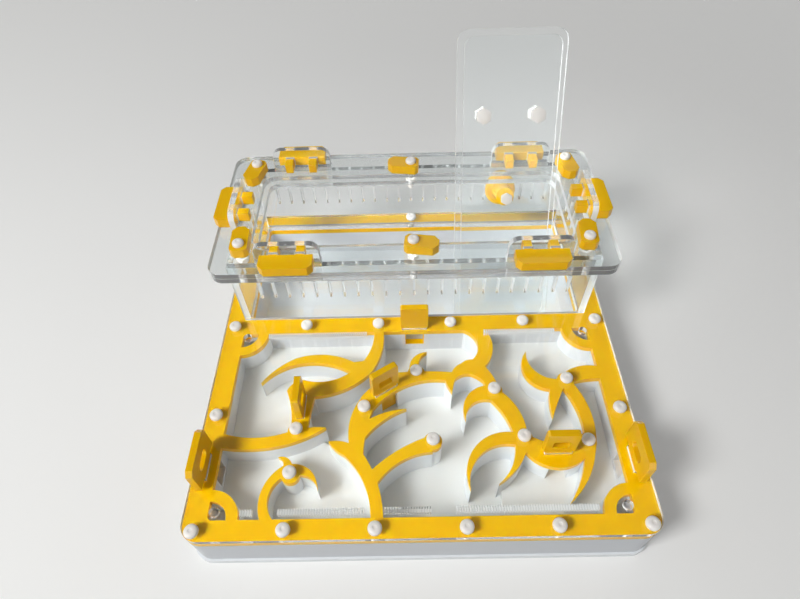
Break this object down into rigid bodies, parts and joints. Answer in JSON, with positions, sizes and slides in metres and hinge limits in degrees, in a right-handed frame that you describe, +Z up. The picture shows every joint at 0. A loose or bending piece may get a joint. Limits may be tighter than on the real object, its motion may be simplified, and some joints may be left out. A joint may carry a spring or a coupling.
{
  "type": "ant habitat",
  "caption": "Flat ant nest with a maze of crescent walls under a clear cover, lift gates, and a clear feeding box with a keyed rim, turn buttons and a parked lid.",
  "frame": {"origin": "centre of the bottom plate's underside", "axes": "+Z up; +Y to the feeding box at the back; +X to the right seen from the front"},
  "size_m": [0.202, 0.2019, 0.1399],
  "materials": {
    "white_sheet": "gloss",
    "white_board": "satin",
    "yellow_acrylic": "gloss",
    "clear_acrylic": "polished",
    "white_nylon": "satin"
  },
  "bodies": {
    "habitat": {"bottom_plate": "white_sheet", "nest_frame": "white_board", "nest_floor": "white_board", "west_ledge": "white_board", "east_ledge": "white_board", "corner_rings": "white_board", "north_west_wall": "white_board", "west_wall": "white_board", "south_west_wall": "white_board", "south_wall": "white_board", "middle_wall": "white_board", "east_wall": "white_board", "maze_layer": "yellow_acrylic", "cover_sheet": "clear_acrylic", "deck_screws": "white_nylon", "front_wall": "clear_acrylic", "back_wall": "clear_acrylic", "left_wall": "clear_acrylic", "right_wall": "clear_acrylic", "rim_lower": "clear_acrylic", "rim_upper": "clear_acrylic", "button_screws": "white_nylon", "button_nuts": "white_nylon"},
    "west_gate": {"west_gate": "yellow_acrylic"},
    "centre_gate": {"centre_gate": "yellow_acrylic"},
    "south_gate": {"south_gate": "yellow_acrylic"},
    "middle_gate": {"middle_gate": "yellow_acrylic"},
    "left_side_gate": {"left_side_gate": "yellow_acrylic"},
    "right_side_gate": {"right_side_gate": "yellow_acrylic"},
    "front_left_key": {"front_left_key": "yellow_acrylic"},
    "front_right_key": {"front_right_key": "yellow_acrylic"},
    "back_left_key": {"back_left_key": "yellow_acrylic"},
    "back_right_key": {"back_right_key": "yellow_acrylic"},
    "left_key": {"left_key": "yellow_acrylic"},
    "right_key": {"right_key": "yellow_acrylic"},
    "front_left_button": {"front_left_button": "yellow_acrylic"},
    "front_right_button": {"front_right_button": "yellow_acrylic"},
    "back_left_button": {"back_left_button": "yellow_acrylic"},
    "back_right_button": {"back_right_button": "yellow_acrylic"},
    "front_button": {"front_button": "yellow_acrylic"},
    "back_button": {"back_button": "yellow_acrylic"},
    "lid": {"lid_sheet": "clear_acrylic", "lid_step_sheet": "clear_acrylic", "lid_knob": "yellow_acrylic", "knob_screw": "white_nylon", "lid_screws": "white_nylon", "lid_nuts": "white_nylon"}
  },
  "joints": [
    {"name": "west_gate_lift", "type": "slide", "parent": "habitat", "child": "west_gate", "axis": [0, 0, 1], "range_m": [0, 0.012]},
    {"name": "centre_gate_lift", "type": "slide", "parent": "habitat", "child": "centre_gate", "axis": [0, 0, 1], "range_m": [0, 0.012]},
    {"name": "south_gate_lift", "type": "slide", "parent": "habitat", "child": "south_gate", "axis": [0, 0, 1], "range_m": [0, 0.012]},
    {"name": "middle_gate_lift", "type": "slide", "parent": "habitat", "child": "middle_gate", "axis": [0, 0, 1], "range_m": [0, 0.012]},
    {"name": "left_side_gate_lift", "type": "slide", "parent": "habitat", "child": "left_side_gate", "axis": [0, 0, 1], "range_m": [0, 0.012]},
    {"name": "right_side_gate_lift", "type": "slide", "parent": "habitat", "child": "right_side_gate", "axis": [0, 0, 1], "range_m": [0, 0.012]},
    {"name": "front_left_key_pull", "type": "slide", "parent": "habitat", "child": "front_left_key", "axis": [0, -1, 0], "range_m": [0, 0.0115]},
    {"name": "front_right_key_pull", "type": "slide", "parent": "habitat", "child": "front_right_key", "axis": [0, -1, 0], "range_m": [0, 0.0115]},
    {"name": "back_left_key_pull", "type": "slide", "parent": "habitat", "child": "back_left_key", "axis": [0, 1, 0], "range_m": [0, 0.0115]},
    {"name": "back_right_key_pull", "type": "slide", "parent": "habitat", "child": "back_right_key", "axis": [0, 1, 0], "range_m": [0, 0.0115]},
    {"name": "left_key_pull", "type": "slide", "parent": "habitat", "child": "left_key", "axis": [-1, 0, 0], "range_m": [0, 0.0115]},
    {"name": "right_key_pull", "type": "slide", "parent": "habitat", "child": "right_key", "axis": [1, 0, 0], "range_m": [0, 0.0115]},
    {"name": "front_left_button_turn", "type": "hinge", "parent": "habitat", "child": "front_left_button", "pos_m": [-0.083, 0.0226, 0.0753], "axis": [0, 0, 1], "range_deg": [-70, 15]},
    {"name": "front_right_button_turn", "type": "hinge", "parent": "habitat", "child": "front_right_button", "pos_m": [0.083, 0.0226, 0.0753], "axis": [0, 0, 1], "range_deg": [-30, 55]},
    {"name": "back_left_button_turn", "type": "hinge", "parent": "habitat", "child": "back_left_button", "pos_m": [-0.083, 0.0828, 0.0753], "axis": [0, 0, 1], "range_deg": [-20, 60]},
    {"name": "back_right_button_turn", "type": "hinge", "parent": "habitat", "child": "back_right_button", "pos_m": [0.083, 0.0828, 0.0753], "axis": [0, 0, 1], "range_deg": [-65, 20]},
    {"name": "front_button_turn", "type": "hinge", "parent": "habitat", "child": "front_button", "pos_m": [0, 0.0225, 0.0753], "axis": [0, 0, 1], "continuous": true},
    {"name": "back_button_turn", "type": "hinge", "parent": "habitat", "child": "back_button", "pos_m": [0, 0.0821, 0.0753], "axis": [0, 0, 1], "continuous": true},
    {"name": "lid_slide", "type": "slide", "parent": "habitat", "child": "lid", "axis": [0, -1, 0], "range_m": [0, 0.01]}
  ]
}
